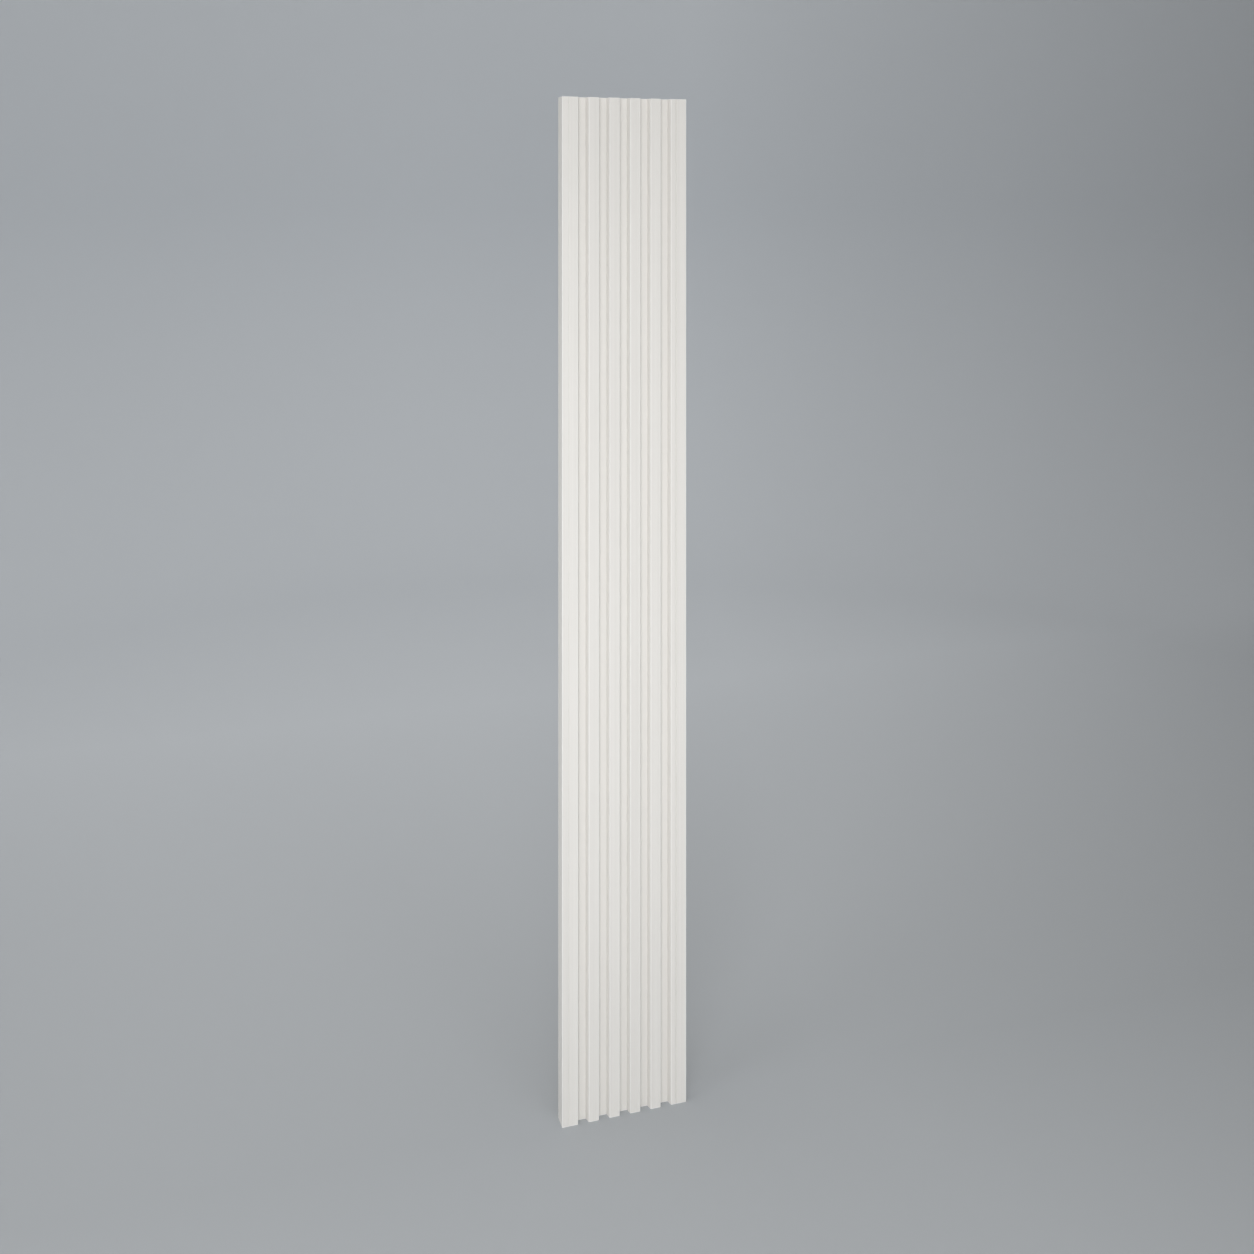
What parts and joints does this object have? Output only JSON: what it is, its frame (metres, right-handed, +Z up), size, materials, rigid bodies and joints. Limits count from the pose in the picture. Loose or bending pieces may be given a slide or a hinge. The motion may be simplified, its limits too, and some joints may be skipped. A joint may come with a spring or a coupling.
{
  "type": "pilaster",
  "caption": "Tall flat pilaster shaft with straight full-height flutes between square-faced ribs, both ends cut square and a flat back for fixing to a wall.",
  "frame": {"origin": "centre of the flat back face, where the shaft is fixed to a wall", "axes": "+Z up along the ribs, +Y out of the back face into the wall, +X to the right seen from the ribbed front, which faces -Y"},
  "size_m": [0.255, 0.031, 2],
  "materials": {
    "primed_moulding": "matt warm-white primer on a rigid moulded shaft"
  },
  "bodies": {
    "root": {"fluted_panel": "primed_moulding"}
  },
  "joints": []
}
